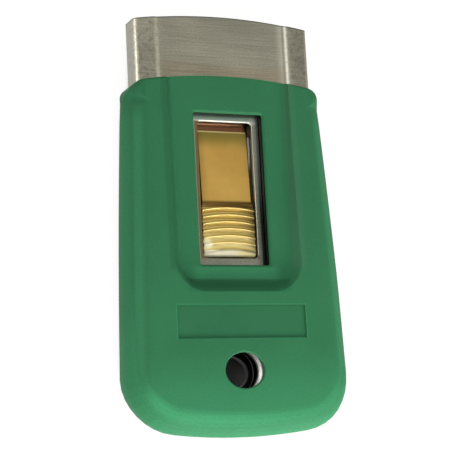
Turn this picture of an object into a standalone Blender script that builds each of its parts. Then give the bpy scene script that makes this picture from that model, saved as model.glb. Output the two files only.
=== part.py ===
"""Pocket safety scraper with a sliding single-edge blade, lying on its flat back.

X runs across the tool, +Y points to the blade end and +Z is the front face with the thumb slide.
The origin is the centre of the tool's outline on the plane that it rests on. The blade is drawn in.
"""

import math

import bmesh
import bpy
from mathutils import Vector

MM = 0.001

# Running clearance, and what the cuts and curves share.
CLEARANCE = 0.3 * MM
OVERRUN = 4.0 * MM
MERGE = 0.01 * MM
ARC_STEPS = 8
HOLE_STEPS = 36
RIVET_STEPS = 20
STEP_BENDS = 5
RIM_ANGLES = (0, 25, 50, 75)
RIM_RUNOUT_SHARE = 1.24

# Blade and its folded back. The blade is a bought standard size, and the tool is built round it.
BLADE_LENGTH = 38.1 * MM
BLADE_HEIGHT = 18.5 * MM
BLADE_THICKNESS = 0.25 * MM
BLADE_EDGE_THICKNESS = 0.04 * MM
BLADE_GRIND = 1.3 * MM
BLADE_REST_SETBACK = 4.4 * MM
SPINE_HEIGHT = 5.5 * MM
SPINE_THICKNESS = 0.9 * MM
SPINE_SHEET = 0.28 * MM
SPINE_OVERHANG = 0.5 * MM

# Blade carrier.
CARRIER_SHEET = 0.5 * MM
CARRIER_LENGTH = 24.0 * MM
BLADE_END_PLAY = 0.4 * MM
EAR_THICKNESS = 0.5 * MM
EAR_LENGTH = 4.2 * MM
STOP_LENGTH = 4.0 * MM

# Brass thumb leaf.
LEAF_SHEET = 0.4 * MM
LEAF_HALF_WIDTH = 5.8 * MM
PAD_SIDE_FLARE = 0.35 * MM
LEAF_SIDE_GAP = 0.3 * MM
LEAF_ROOT_RUN = 2.1 * MM
LEAF_ROOT_RISE = 0.4 * MM
LEAF_PLATE_LENGTH = 15.6 * MM
LEAF_RISE = 1.2 * MM
STEP_RUN = 1.9 * MM
PAD_LENGTH = 10.8 * MM
PAD_HEIGHT = 2.5 * MM
PAD_CROWN = 0.8 * MM
PAD_CROWN_POWER = 2.6
PAD_END_DROP = 0.7 * MM
RIB_COUNT = 7
RIB_HEIGHT = 0.2 * MM
RIB_SHARPNESS = 1.8
RIB_ARCH = 0.5 * MM
LEAF_EAR_REACH = 4.6 * MM
LEAF_EAR_LENGTH = 2.8 * MM
LEAF_SLOT = 0.45 * MM
LEAF_RAMP = 0.8 * MM

# Rivets through the leaf's ears.
RIVET_RADIUS = 0.6 * MM
RIVET_HEAD_RADIUS = 1.1 * MM
RIVET_HEAD_HEIGHT = 0.4 * MM
RIVET_CROWN_SHARE = 0.6
RIVET_INSET = 2.0 * MM

# Guide frame inside the window.
FRAME_SHEET = 0.5 * MM
FRAME_SIDE = 1.65 * MM
FRAME_RIM = 0.3 * MM
FRAME_END = 3.6 * MM
FRAME_JOGGLE_RUN = 0.6 * MM
FRAME_JOGGLE_RISE = 0.3 * MM
SLIDE_TRAVEL = 16.0 * MM
SLIDE_OPENING_SPARE = 1.6 * MM
SLIDE_OPENING_CORNER = 0.8 * MM

# Steel sheath.
SHEET = 0.6 * MM
SLIDE_SIDE_PLAY = 0.45 * MM
BEND_RADIUS = 0.9 * MM
MOUTH_RADIUS = 130.0 * MM
PANEL_SHOULDER = 6.0 * MM
PANEL_STEP = 0.35 * MM
PANEL_STEP_RUN = 1.4 * MM
WINDOW_FLANGE_SHEET = 0.5 * MM
WINDOW_FLANGE_SETBACK = 0.1 * MM
BACK_LIP = 3.4 * MM
SHEATH_TAIL_CHAMFER = 7.0 * MM
SHEATH_TAIL_MARGIN = 8.6 * MM
BACK_PLATE_SETBACK = 0.5 * MM

# Hang hole in the steel.
HANG_HOLE_PAST_LABEL = 6.8 * MM
STEEL_HOLE_RADIUS = 4.6 * MM
HOLE_FLANGE_RADIUS = 1.0 * MM
BACK_HOLE_RADIUS = 5.1 * MM

# Rubber grip sleeve.
TAIL_PAST_HOLE = 14.1 * MM
LIP_SETBACK = 14.0 * MM
BACK_WALL = 1.85 * MM
LIP_SIDE_WALL = 1.85 * MM
TAIL_SIDE_WALL = 5.1 * MM
SIDE_BOW = 0.4 * MM
RECESS_SKIN = 0.6 * MM
RECESS_DEPTH = 2.0 * MM
RECESS_SIDE = 4.3 * MM
RECESS_TAIL = 3.4 * MM
RECESS_CORNER_RADIUS = 4.5 * MM
RECESS_WALL_RUN = 3.1 * MM
RECESS_TIP_WALL_SHARE = 0.35
RECESS_OVERCUT = 0.06 * MM
LIP_DROP = 1.1 * MM
LIP_CORNER_RADIUS = 4.8 * MM
LIP_ARCH_RADIUS = 115.0 * MM
TAIL_CORNER_RADIUS = 12.3 * MM
TAIL_ARCH_RADIUS = 120.0 * MM
FRONT_EDGE_RUN = 5.6 * MM
FRONT_EDGE_FALL = 5.0 * MM
BACK_EDGE_RUN = 4.6 * MM
BACK_EDGE_RISE = 4.8 * MM
LIP_EDGE_ROUND = 0.6 * MM
TAIL_EDGE_LIFT = 2.0 * MM
WINDOW_TOP_LEDGE = 1.4 * MM
WINDOW_LOW_LEDGE = 1.8 * MM
WINDOW_SIDE_GAP = 0.05 * MM
WINDOW_RIM = 0.7 * MM
LABEL_PAST_PAD = 11.3 * MM
LABEL_HALF_WIDTH = 15.05 * MM
LABEL_HEIGHT = 7.1 * MM
LABEL_DEPTH = 0.35 * MM
HANG_HOLE_HALF_WIDTH = 4.55 * MM
HANG_HOLE_HALF_HEIGHT = 3.85 * MM
HANG_HOLE_RIM = 0.35 * MM
HANG_HOLE_UNDERCUT = 1.1 * MM

# Heights, stacked up from the flat back.
SHEATH_BACK_Z = BACK_WALL + CLEARANCE
BACK_PLATE_Z = SHEATH_BACK_Z + SHEET + CLEARANCE
CARRIER_Z = BACK_PLATE_Z + SHEET + CLEARANCE
ON_CARRIER_Z = CARRIER_Z + CARRIER_SHEET + CLEARANCE
FRAME_TOP_Z = ON_CARRIER_Z + SPINE_THICKNESS + CLEARANCE + FRAME_SHEET
PANEL_UNDER_Z = FRAME_TOP_Z + FRAME_JOGGLE_RISE + CLEARANCE
PANEL_TOP_Z = PANEL_UNDER_Z + SHEET
SHEATH_FACE_Z = PANEL_TOP_Z + PANEL_STEP
RECESS_FLOOR = SHEATH_FACE_Z + CLEARANCE + RECESS_SKIN
SLEEVE_THICKNESS = RECESS_FLOOR + RECESS_DEPTH

# Half widths, stacked out from the blade and from the leaf.
CARRIER_HALF_WIDTH = BLADE_LENGTH / 2 + BLADE_END_PLAY + EAR_THICKNESS
SHEATH_HALF_WIDTH = CARRIER_HALF_WIDTH + SLIDE_SIDE_PLAY + SHEET
PANEL_HALF_WIDTH = SHEATH_HALF_WIDTH - PANEL_SHOULDER
SLEEVE_HALF_WIDTH_LIP = SHEATH_HALF_WIDTH + CLEARANCE + LIP_SIDE_WALL
SLEEVE_HALF_WIDTH_TAIL = SHEATH_HALF_WIDTH + CLEARANCE + TAIL_SIDE_WALL
PAD_HALF_WIDTH = LEAF_HALF_WIDTH + PAD_SIDE_FLARE
LEAF_EAR_BEND_X = LEAF_HALF_WIDTH + LEAF_SLOT
LEAF_EAR_RAMP_X = LEAF_EAR_BEND_X + LEAF_RAMP
LEAF_EAR_HALF_WIDTH = LEAF_EAR_RAMP_X + LEAF_EAR_REACH
RIVET_X = LEAF_EAR_HALF_WIDTH - RIVET_INSET
CARRIER_SLOT_HALF_WIDTH = LEAF_EAR_RAMP_X + CLEARANCE
SLIDE_OPENING_HALF_WIDTH = PAD_HALF_WIDTH + LEAF_SIDE_GAP
FRAME_HALF_WIDTH = SLIDE_OPENING_HALF_WIDTH + FRAME_SIDE
SLEEVE_WINDOW_HALF_WIDTH = FRAME_HALF_WIDTH + WINDOW_SIDE_GAP
RECESS_HALF_WIDTH = SLEEVE_WINDOW_HALF_WIDTH + RECESS_SIDE

# Places along the tool, from the mouth to the tail.
PAD_END_SETBACK = (BLADE_REST_SETBACK + BLADE_HEIGHT + SPINE_OVERHANG + CLEARANCE + LEAF_ROOT_RUN
                   + LEAF_PLATE_LENGTH + STEP_RUN + PAD_LENGTH)
LABEL_SETBACK = PAD_END_SETBACK + LABEL_PAST_PAD
HANG_HOLE_SETBACK = LABEL_SETBACK + LABEL_HEIGHT + HANG_HOLE_PAST_LABEL
TOOL_LENGTH = HANG_HOLE_SETBACK + TAIL_PAST_HOLE
TIP_Y = TOOL_LENGTH / 2
LIP_Y = TIP_Y - LIP_SETBACK
BLADE_EDGE_Y = TIP_Y - BLADE_REST_SETBACK
SPINE_BACK_Y = BLADE_EDGE_Y - BLADE_HEIGHT - SPINE_OVERHANG
LEAF_ROOT_Y = SPINE_BACK_Y - CLEARANCE
LEAF_BEND_Y = LEAF_ROOT_Y - LEAF_ROOT_RUN
RIVET_Y = LEAF_ROOT_Y - LEAF_EAR_LENGTH / 2
STEP_START_Y = LEAF_BEND_Y - LEAF_PLATE_LENGTH
PAD_TOP_Y = STEP_START_Y - STEP_RUN
PAD_END_Y = PAD_TOP_Y - PAD_LENGTH
SLIDE_OPENING_LOW_Y = PAD_END_Y - CLEARANCE
SLIDE_OPENING_TOP_Y = STEP_START_Y + SLIDE_TRAVEL + SLIDE_OPENING_SPARE
SLEEVE_WINDOW_TOP_Y = SLIDE_OPENING_TOP_Y + WINDOW_TOP_LEDGE
SLEEVE_WINDOW_LOW_Y = SLIDE_OPENING_LOW_Y - WINDOW_LOW_LEDGE
RECESS_END_Y = SLEEVE_WINDOW_LOW_Y - RECESS_TAIL
HANG_HOLE_Y = TIP_Y - HANG_HOLE_SETBACK
SHEATH_TAIL_Y = HANG_HOLE_Y - SHEATH_TAIL_MARGIN


def start_scene():
    """Empties the scene and returns the collections for the tool's parts and for the cutters."""
    for obj in list(bpy.data.objects):
        bpy.data.objects.remove(obj, do_unlink=True)
    parts = bpy.data.collections.new("safety_scraper")
    cutters = bpy.data.collections.new("cutters")
    for collection in (parts, cutters):
        bpy.context.scene.collection.children.link(collection)
    return parts, cutters


PARTS, CUTTERS = start_scene()


def material(name, colour, roughness, metallic):
    mat = bpy.data.materials.new(name)
    mat.use_nodes = True
    shader = mat.node_tree.nodes["Principled BSDF"]
    shader.inputs["Base Color"].default_value = (*colour, 1.0)
    shader.inputs["Roughness"].default_value = roughness
    shader.inputs["Metallic"].default_value = metallic
    return mat


def link(bm, name, mat=None):
    """Turns a bmesh into an object: a part when it has a material, and otherwise a hidden cutter."""
    mesh = bpy.data.meshes.new(name)
    bm.to_mesh(mesh)
    bm.free()
    obj = bpy.data.objects.new(name, mesh)
    if mat:
        mesh.materials.append(mat)
        PARTS.objects.link(obj)
    else:
        CUTTERS.objects.link(obj)
        obj.hide_render = True
        obj.display_type = "WIRE"
    return obj


def boolean(obj, other, operation="DIFFERENCE", solver="EXACT"):
    mod = obj.modifiers.new(f"{operation.lower()} {other.name}", "BOOLEAN")
    mod.operation = operation
    mod.solver = solver
    mod.object = other


def solidify(obj, thickness, offset):
    mod = obj.modifiers.new("sheet", "SOLIDIFY")
    mod.thickness = thickness
    mod.offset = offset
    mod.use_even_offset = True


def smooth(obj, angle=30.0):
    obj.data.shade_smooth()
    obj.data.set_sharp_from_angle(angle=math.radians(angle))


def arc(centre, radius, start, end, steps=ARC_STEPS):
    """Points on a circle from one angle to another, both in degrees."""
    points = []
    for i in range(steps + 1):
        angle = math.radians(start + (end - start) * i / steps)
        points.append((centre[0] + radius * math.cos(angle), centre[1] + radius * math.sin(angle)))
    return points


def mirrored(points):
    """A right-hand outline followed by its mirror image, so that the outline closes."""
    return points + [(-x, y) for x, y in reversed(points) if x > 0]


def step_up(value, start, end):
    """Nought before the start, one after the end and a soft rise between."""
    share = min(1.0, max(0.0, (value - start) / (end - start)))
    return share * share * (3 - 2 * share)


def evenly(start, end, count):
    """Places after the start, up to the end."""
    return [start + (end - start) * (i + 1) / count for i in range(count)]


def ring(bm, outline, z):
    return [bm.verts.new((x, y, z)) for x, y in outline]


def loft(rings):
    """A solid through rings of (outline, height), from the lowest to the highest."""
    bm = bmesh.new()
    loops = [ring(bm, outline, z) for outline, z in rings]
    count = len(loops[0])
    for lower, upper in zip(loops, loops[1:]):
        for i in range(count):
            j = (i + 1) % count
            bm.faces.new((lower[i], lower[j], upper[j], upper[i]))
    bm.faces.new(loops[0])
    bm.faces.new(loops[-1])
    bmesh.ops.recalc_face_normals(bm, faces=bm.faces)
    return bm


def prism(outline, low, high):
    return loft([(outline, low), (outline, high)])


def rimmed(outline_at, low, rim_z, rim, high):
    """Rings of a hole whose upper edge is rounded: outline_at gives the outline for an amount of growth."""
    rings = [(outline_at(0), low)]
    for angle in RIM_ANGLES:
        turn = math.radians(angle)
        rings.append((outline_at(rim * (1 - math.cos(turn))), rim_z - rim + rim * math.sin(turn)))
    rings.append((outline_at(rim * RIM_RUNOUT_SHARE), rim_z + rim / 10))
    rings.append((outline_at(rim * RIM_RUNOUT_SHARE), high))
    return rings


def rounded_box_outline(half_width, low_y, high_y, radius, steps=ARC_STEPS // 2):
    right = arc((half_width - radius, low_y + radius), radius, -90, 0, steps)
    right += arc((half_width - radius, high_y - radius), radius, 0, 90, steps)
    return mirrored(right)


def circle_outline(x, y, half_width, half_height, steps=HOLE_STEPS):
    turn = [2 * math.pi * i / steps for i in range(steps)]
    return [(x + half_width * math.cos(a), y + half_height * math.sin(a)) for a in turn]


def face_upwards(bm):
    """Turns an open sheet so that its widest faces look up and the others agree with them."""
    bmesh.ops.recalc_face_normals(bm, faces=bm.faces)
    if max(bm.faces, key=lambda face: face.calc_area()).normal.z < 0:
        bmesh.ops.reverse_faces(bm, faces=bm.faces)


def strip(section, along, low, high):
    """An open surface: a section of points pushed along X or Y."""
    bm = bmesh.new()
    rows = []
    for place in (low, high):
        if along == "y":
            rows.append([bm.verts.new((a, place, z)) for a, z in section])
        else:
            rows.append([bm.verts.new((place, a, z)) for a, z in section])
    for i in range(len(section) - 1):
        bm.faces.new((rows[0][i], rows[0][i + 1], rows[1][i + 1], rows[1][i]))
    face_upwards(bm)
    return bm


# Rubber grip sleeve.


def sleeve_half_width(y):
    """The sides flare from the lip to the tail, with a slight bow."""
    share = (LIP_Y - y) / (LIP_Y + TIP_Y)
    flare = SLEEVE_HALF_WIDTH_LIP + (SLEEVE_HALF_WIDTH_TAIL - SLEEVE_HALF_WIDTH_LIP) * share
    return flare + SIDE_BOW * math.sin(math.pi * share)


def arched_end(end_y, inward, arch_radius, corner_radius):
    """Half of an end, from beside its middle to its side: a wide arch that runs smoothly into a corner."""
    corner_x = sleeve_half_width(end_y + inward * corner_radius) - corner_radius
    arch_y = end_y + inward * arch_radius
    reach = arch_radius - corner_radius
    corner_y = arch_y - inward * math.sqrt(reach ** 2 - corner_x ** 2)
    turn = math.degrees(math.asin(corner_x / reach))
    points = []
    for x, y in arc((0, 0), arch_radius, -90, turn - 90)[1:] + arc((0, 0), corner_radius, turn - 90, 0)[1:]:
        on_arch = len(points) < ARC_STEPS
        points.append((x, arch_y + inward * y) if on_arch else (corner_x + x, corner_y + inward * y))
    return points


def sleeve_side():
    """The right half of the sleeve's plan, from beside the middle of the tail to that of the lip."""
    tail = arched_end(-TIP_Y, 1, TAIL_ARCH_RADIUS, TAIL_CORNER_RADIUS)
    lip = arched_end(LIP_Y, -1, LIP_ARCH_RADIUS, LIP_CORNER_RADIUS)[::-1]
    side = evenly(tail[-1][1], lip[0][1], 2 * ARC_STEPS)[:-1]
    return tail + [(sleeve_half_width(y), y) for y in side] + lip


def outward(points):
    """Unit normals of an open outline that runs anticlockwise round the sleeve's right half."""
    ends = [(-points[0][0], points[0][1])] + points + [(-points[-1][0], points[-1][1])]
    normals = []
    for before, after in zip(ends, ends[2:]):
        along = Vector((after[0] - before[0], after[1] - before[1])).normalized()
        normals.append(Vector((along.y, -along.x)))
    return normals


def front_height(y):
    """The front face falls from the recess's end towards the lip."""
    return SLEEVE_THICKNESS - LIP_DROP * max(0.0, y - RECESS_END_Y) / (LIP_Y - RECESS_END_Y)


def edge_section(y, facing):
    """How far in and how high each ring of the rounded edge lies.

    Facing runs from -1 at the tail to 1 at the lip: the edge is sharp at the lip, and at the tail its widest
    line lies nearer the front."""
    full = 1 - step_up(facing, 0, 1)
    lift = TAIL_EDGE_LIFT * step_up(-facing, 0, 1)
    back_run = LIP_EDGE_ROUND + (BACK_EDGE_RUN - LIP_EDGE_ROUND) * full + lift
    back_rise = LIP_EDGE_ROUND + (BACK_EDGE_RISE - LIP_EDGE_ROUND) * full + lift
    front_run = LIP_EDGE_ROUND + (FRONT_EDGE_RUN - LIP_EDGE_ROUND) * full
    front_fall = LIP_EDGE_ROUND + (FRONT_EDGE_FALL - LIP_EDGE_ROUND) * full - lift
    section = []
    for i in range(ARC_STEPS + 1):
        turn = math.pi / 2 * i / ARC_STEPS
        section.append((back_run * (1 - math.sin(turn)), back_rise * (1 - math.cos(turn))))
    for i in range(ARC_STEPS + 1):
        turn = math.pi / 2 * i / ARC_STEPS
        height = front_height(y) - front_fall * (1 - math.sin(turn))
        section.append((front_run * (1 - math.cos(turn)), height))
    return section


def sleeve_body():
    """The sleeve before it is hollowed: rings set in from the outline, then its flat back and front."""
    bm = bmesh.new()
    points = sleeve_side()
    columns = []
    for (x, y), normal in zip(points, outward(points)):
        section = edge_section(y, normal.y)
        columns.append([(x - normal.x * inset, y - normal.y * inset, z) for inset, z in section])
    right = [[bm.verts.new(place) for place in column] for column in columns]
    left = [[bm.verts.new((-x, y, z)) for x, y, z in column] for column in columns]
    loop = right + left[::-1]
    for i, column in enumerate(loop):
        after = loop[(i + 1) % len(loop)]
        for k in range(len(column) - 1):
            bm.faces.new((column[k], after[k], after[k + 1], column[k + 1]))
    for k in (0, -1):
        for i in range(len(right) - 1):
            bm.faces.new((right[i][k], right[i + 1][k], left[i + 1][k], left[i][k]))
    bmesh.ops.recalc_face_normals(bm, faces=bm.faces)
    return bm


def recess_outline(spread):
    """The thumb recess in plan, grown outwards by the spread.

    It runs out through the lip, and its walls are steeper there."""
    half_width = RECESS_HALF_WIDTH + spread
    radius = RECESS_CORNER_RADIUS + spread
    end_y = RECESS_END_Y - spread
    right = arc((half_width - radius, end_y + radius), radius, -90, 0, ARC_STEPS)
    steepened = (RECESS_WALL_RUN - spread) * (1 - RECESS_TIP_WALL_SHARE)
    right.append((half_width + steepened, TIP_Y))
    return mirrored([(0, end_y)] + right + [(0, TIP_Y)])


def grip_sleeve(mat):
    sleeve = link(sleeve_body(), "grip_sleeve", mat)

    pocket = prism(sheath_plan(CLEARANCE), BACK_WALL, SHEATH_FACE_Z + CLEARANCE)
    pocket = link(pocket, "sleeve_pocket")
    pocket_round = pocket.modifiers.new("bends", "BEVEL")
    pocket_round.width = BEND_RADIUS
    pocket_round.segments = 2
    pocket_round.limit_method = "ANGLE"
    pocket_round.angle_limit = math.radians(60)
    boolean(sleeve, pocket, solver="MANIFOLD")

    top = SLEEVE_THICKNESS + OVERRUN
    brim = SLEEVE_THICKNESS + RECESS_OVERCUT
    rings = []
    for i in range(ARC_STEPS + 1):
        share = i / ARC_STEPS
        height = RECESS_FLOOR + (brim - RECESS_FLOOR) * (1 - math.cos(math.pi * share)) / 2
        rings.append((recess_outline(RECESS_WALL_RUN * share), height))
    rings.append((recess_outline(RECESS_WALL_RUN), top))
    boolean(sleeve, link(loft(rings), "thumb_recess"), solver="MANIFOLD")

    def window_outline(grow):
        return rounded_box_outline(SLEEVE_WINDOW_HALF_WIDTH + grow, SLEEVE_WINDOW_LOW_Y - grow,
                                   SLEEVE_WINDOW_TOP_Y + grow, SLIDE_OPENING_CORNER / 2 + grow, 3)

    window = loft(rimmed(window_outline, SHEATH_FACE_Z - BEND_RADIUS, RECESS_FLOOR, WINDOW_RIM, top))
    boolean(sleeve, link(window, "sleeve_window"), solver="MANIFOLD")

    label_top = TIP_Y - LABEL_SETBACK
    label = prism(
        [(LABEL_HALF_WIDTH, label_top - LABEL_HEIGHT), (LABEL_HALF_WIDTH, label_top),
         (-LABEL_HALF_WIDTH, label_top), (-LABEL_HALF_WIDTH, label_top - LABEL_HEIGHT)],
        SLEEVE_THICKNESS - LABEL_DEPTH, top)
    boolean(sleeve, link(label, "label_panel"), solver="MANIFOLD")

    def hole_outline(grow):
        return circle_outline(0, HANG_HOLE_Y, HANG_HOLE_HALF_WIDTH + grow, HANG_HOLE_HALF_HEIGHT + grow)

    below = SHEATH_FACE_Z - BEND_RADIUS
    rings = rimmed(hole_outline, SLEEVE_THICKNESS - 2 * HANG_HOLE_RIM, SLEEVE_THICKNESS, HANG_HOLE_RIM, top)
    rings.insert(0, (hole_outline(HANG_HOLE_UNDERCUT), below))
    boolean(sleeve, link(loft(rings), "front_hole_cut"), solver="MANIFOLD")
    hole = prism(hole_outline(0), -OVERRUN, below + CLEARANCE)
    boolean(sleeve, link(hole, "back_hole_cut"), solver="MANIFOLD")
    smooth(sleeve)
    return sleeve


# Steel sheath.


def sheath_plan(grow):
    """The sheath seen from the front, grown by the clearance; the mouth end runs past the tip."""
    half = SHEATH_HALF_WIDTH + grow
    tail_y = SHEATH_TAIL_Y - grow
    right = [(half - SHEATH_TAIL_CHAMFER, tail_y), (half, tail_y + SHEATH_TAIL_CHAMFER),
             (half, TIP_Y + OVERRUN)]
    return mirrored(right)


def mouth_cutter(name, setback):
    """Everything beyond the curved mouth edge."""
    reach = SHEATH_HALF_WIDTH + OVERRUN
    centre_y = TIP_Y - setback - MOUTH_RADIUS
    half_angle = math.degrees(math.asin(reach / MOUTH_RADIUS))
    edge = arc((0, centre_y), MOUTH_RADIUS, 90 - half_angle, 90 + half_angle, 3 * ARC_STEPS)
    far_y = TIP_Y + 2 * OVERRUN
    outline = edge + [(-reach, far_y), (reach, far_y)]
    return link(prism(outline, SHEATH_BACK_Z - OVERRUN, SHEATH_FACE_Z + OVERRUN), name)


def front_section():
    """The pressed front's outer line from the left back lip, over the face, to the right one."""
    half = SHEATH_HALF_WIDTH
    r = BEND_RADIUS
    right = []
    for i in range(STEP_BENDS + 1):
        share = i / STEP_BENDS
        height = PANEL_TOP_Z + PANEL_STEP * step_up(share, 0, 1)
        right.append((PANEL_HALF_WIDTH + PANEL_STEP_RUN * share, height))
    right += arc((half - r, SHEATH_FACE_Z - r), r, 90, 0, 4)
    right += arc((half - r, SHEATH_BACK_Z + r), r, 0, -90, 4)
    right.append((half - BACK_LIP, SHEATH_BACK_Z))
    return [(-x, z) for x, z in reversed(right)] + right


def screw(profile, name, place, steps, mat=None):
    """A turned shape from a profile of (radius, height), outer side from the top down."""
    bm = bmesh.new()
    verts = [bm.verts.new((r, 0, z)) for r, z in profile]
    for one, two in zip(verts, verts[1:]):
        bm.edges.new((one, two))
    if profile[0][0] > 0:
        bm.edges.new((verts[-1], verts[0]))
    obj = link(bm, name, mat)
    obj.location = place
    turn = obj.modifiers.new("turn", "SCREW")
    turn.steps = steps
    turn.render_steps = steps
    turn.use_merge_vertices = True
    turn.merge_threshold = MERGE
    return obj


def sheath_front(mat):
    front = link(strip(front_section(), "y", SHEATH_TAIL_Y, TIP_Y + OVERRUN), "sheath_front", mat)
    solidify(front, SHEET, -1)
    boolean(front, mouth_cutter("front_mouth", 0))

    for side in (-1, 1):
        inner_x = side * (SHEATH_HALF_WIDTH - SHEATH_TAIL_CHAMFER)
        outer_x = side * SHEATH_HALF_WIDTH
        corner_y = SHEATH_TAIL_Y + SHEATH_TAIL_CHAMFER
        corner = [(inner_x, SHEATH_TAIL_Y), (outer_x, corner_y), (outer_x + side * OVERRUN, corner_y),
                  (outer_x + side * OVERRUN, SHEATH_TAIL_Y - OVERRUN), (inner_x, SHEATH_TAIL_Y - OVERRUN)]
        trim = prism(corner, SHEATH_BACK_Z - OVERRUN, SHEATH_FACE_Z + OVERRUN)
        boolean(front, link(trim, f"tail_corner_{'left' if side < 0 else 'right'}"))

    def flange_outline(grow):
        return rounded_box_outline(SLEEVE_WINDOW_HALF_WIDTH + grow, SLEEVE_WINDOW_LOW_Y - grow,
                                   SLEEVE_WINDOW_TOP_Y + grow, SLIDE_OPENING_CORNER + grow)

    flange_low = FRAME_TOP_Z + FRAME_JOGGLE_RISE
    flange = prism(flange_outline(WINDOW_FLANGE_SETBACK + WINDOW_FLANGE_SHEET), flange_low,
                   (PANEL_UNDER_Z + PANEL_TOP_Z) / 2)
    boolean(front, link(flange, "window_flange"), "UNION")
    window = prism(flange_outline(WINDOW_FLANGE_SETBACK), flange_low - CLEARANCE, SHEATH_FACE_Z + OVERRUN)
    boolean(front, link(window, "front_window"))

    outer = STEEL_HOLE_RADIUS + HOLE_FLANGE_RADIUS
    hole = prism(circle_outline(0, HANG_HOLE_Y, outer, outer), PANEL_UNDER_Z - CLEARANCE,
                 SHEATH_FACE_Z + OVERRUN)
    boolean(front, link(hole, "front_hang_hole"))
    turned_down = arc((outer, PANEL_TOP_Z - HOLE_FLANGE_RADIUS), HOLE_FLANGE_RADIUS, 180, 90, 5)
    inner = HOLE_FLANGE_RADIUS - SHEET
    under = arc((outer, PANEL_TOP_Z - HOLE_FLANGE_RADIUS), inner, 90, 180, 5)
    edge = [(outer + SHEET, PANEL_TOP_Z), (outer + SHEET, PANEL_UNDER_Z)]
    profile = list(reversed(turned_down + edge + under))
    flange = screw(profile, "hole_flange", (0, HANG_HOLE_Y, 0), HOLE_STEPS)
    boolean(front, flange, "UNION")
    smooth(front)
    return front


def sheath_back(mat):
    inner = SHEATH_HALF_WIDTH - SHEET - CLEARANCE
    corner = SHEATH_TAIL_CHAMFER
    right = [(inner - corner, SHEATH_TAIL_Y), (inner, SHEATH_TAIL_Y + corner), (inner, TIP_Y + OVERRUN)]
    back = link(prism(mirrored(right), BACK_PLATE_Z, BACK_PLATE_Z + SHEET), "sheath_back", mat)
    boolean(back, mouth_cutter("back_mouth", BACK_PLATE_SETBACK))
    hole = prism(circle_outline(0, HANG_HOLE_Y, BACK_HOLE_RADIUS, BACK_HOLE_RADIUS),
                 BACK_PLATE_Z - CLEARANCE, BACK_PLATE_Z + SHEET + CLEARANCE)
    boolean(back, link(hole, "back_hang_hole"))
    smooth(back)
    return back


def guide_frame(mat):
    """A pressed frame under the window; its two ends are joggled up to the front panel."""
    top_y = SLIDE_OPENING_TOP_Y
    low_y = SLIDE_OPENING_LOW_Y
    raised = PANEL_UNDER_Z - CLEARANCE
    section = []
    for y, direction in ((low_y, -1), (top_y, 1)):
        bend_y = y + direction * (FRAME_END / 2)
        pair = [(bend_y, FRAME_TOP_Z), (bend_y + direction * FRAME_JOGGLE_RUN, raised),
                (y + direction * FRAME_END, raised)]
        section += reversed(pair) if direction < 0 else pair
    frame = link(strip(section, "x", -FRAME_HALF_WIDTH, FRAME_HALF_WIDTH), "guide_frame", mat)
    solidify(frame, FRAME_SHEET, -1)
    def opening_outline(grow):
        return rounded_box_outline(SLIDE_OPENING_HALF_WIDTH + grow, low_y - grow, top_y + grow,
                                   SLIDE_OPENING_CORNER + grow)

    opening = loft(rimmed(opening_outline, FRAME_TOP_Z - FRAME_SHEET - CLEARANCE, FRAME_TOP_Z, FRAME_RIM,
                          FRAME_TOP_Z + CLEARANCE))
    boolean(frame, link(opening, "slide_opening"))
    smooth(frame)
    return frame


# The sliding carrier with the blade.


def blade_carrier(mat):
    """A forked plate under the blade, with ears beside the folded back and stops behind it."""
    front_y = SPINE_BACK_Y + SPINE_HEIGHT
    rear_y = front_y - CARRIER_LENGTH
    slot_y = SPINE_BACK_Y - CLEARANCE
    half = CARRIER_HALF_WIDTH
    radius = SLIDE_OPENING_CORNER
    right = [(CARRIER_SLOT_HALF_WIDTH, slot_y), (CARRIER_SLOT_HALF_WIDTH, rear_y)]
    right += arc((half - radius, rear_y + radius), radius, -90, 0, 3)
    right += [(half, front_y)]
    carrier = link(prism(mirrored(right), CARRIER_Z, CARRIER_Z + CARRIER_SHEET), "blade_carrier", mat)
    rise = ON_CARRIER_Z + SPINE_THICKNESS
    for side in (-1, 1):
        outer_x = side * half
        inner_x = side * (half - EAR_THICKNESS)
        ear = prism([(outer_x, front_y - EAR_LENGTH), (outer_x, front_y),
                     (inner_x, front_y), (inner_x, front_y - EAR_LENGTH)], CARRIER_Z, rise)
        name = "left" if side < 0 else "right"
        boolean(carrier, link(ear, f"carrier_ear_{name}"), "UNION")
        stop_y = SPINE_BACK_Y - CLEARANCE / 2
        stop_x = side * (half - EAR_THICKNESS - STOP_LENGTH)
        stop = prism([(stop_x, stop_y - EAR_THICKNESS), (inner_x, stop_y - EAR_THICKNESS),
                      (inner_x, stop_y), (stop_x, stop_y)], CARRIER_Z, rise)
        boolean(carrier, link(stop, f"carrier_stop_{name}"), "UNION")
        hole_radius = RIVET_RADIUS + CLEARANCE / 2
        hole = prism(circle_outline(side * RIVET_X, RIVET_Y, hole_radius, hole_radius, RIVET_STEPS),
                     CARRIER_Z - CLEARANCE, ON_CARRIER_Z)
        boolean(carrier, link(hole, f"carrier_rivet_hole_{name}"))
    smooth(carrier)
    return carrier


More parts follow.
